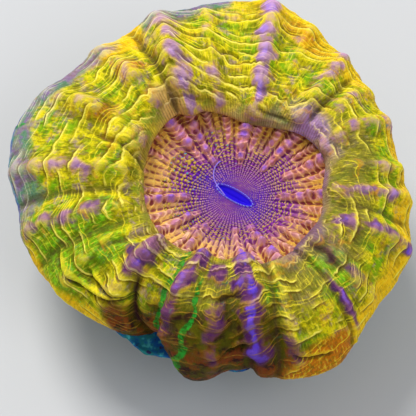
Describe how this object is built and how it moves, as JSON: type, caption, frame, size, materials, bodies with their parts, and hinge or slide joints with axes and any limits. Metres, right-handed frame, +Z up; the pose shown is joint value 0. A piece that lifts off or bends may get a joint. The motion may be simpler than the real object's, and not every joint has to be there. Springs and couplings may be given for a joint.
{
  "type": "fleshy solitary coral",
  "caption": "Large solitary fleshy coral: a lobed mantle with a lip round a ridged oral disc and slit mouth, on a ribbed stony cup cut flat below.",
  "frame": {"origin": "centre of the flat cut under the stony cup, on the surface that the coral stands on", "axes": "+Z up through the mouth, +X to the right and +Y away when the long slope of the mouth falls to the right"},
  "size_m": [0.1311, 0.1332, 0.063],
  "materials": {
    "stony_skeleton": "chalky porous aragonite with a teal film of algae, ribbed up the wall",
    "living_flesh": "soft damp tissue, lime and yellow with violet ridges and fine bright crease lines"
  },
  "bodies": {
    "root": {"corallum": "stony_skeleton", "polyp": "living_flesh"}
  },
  "joints": []
}
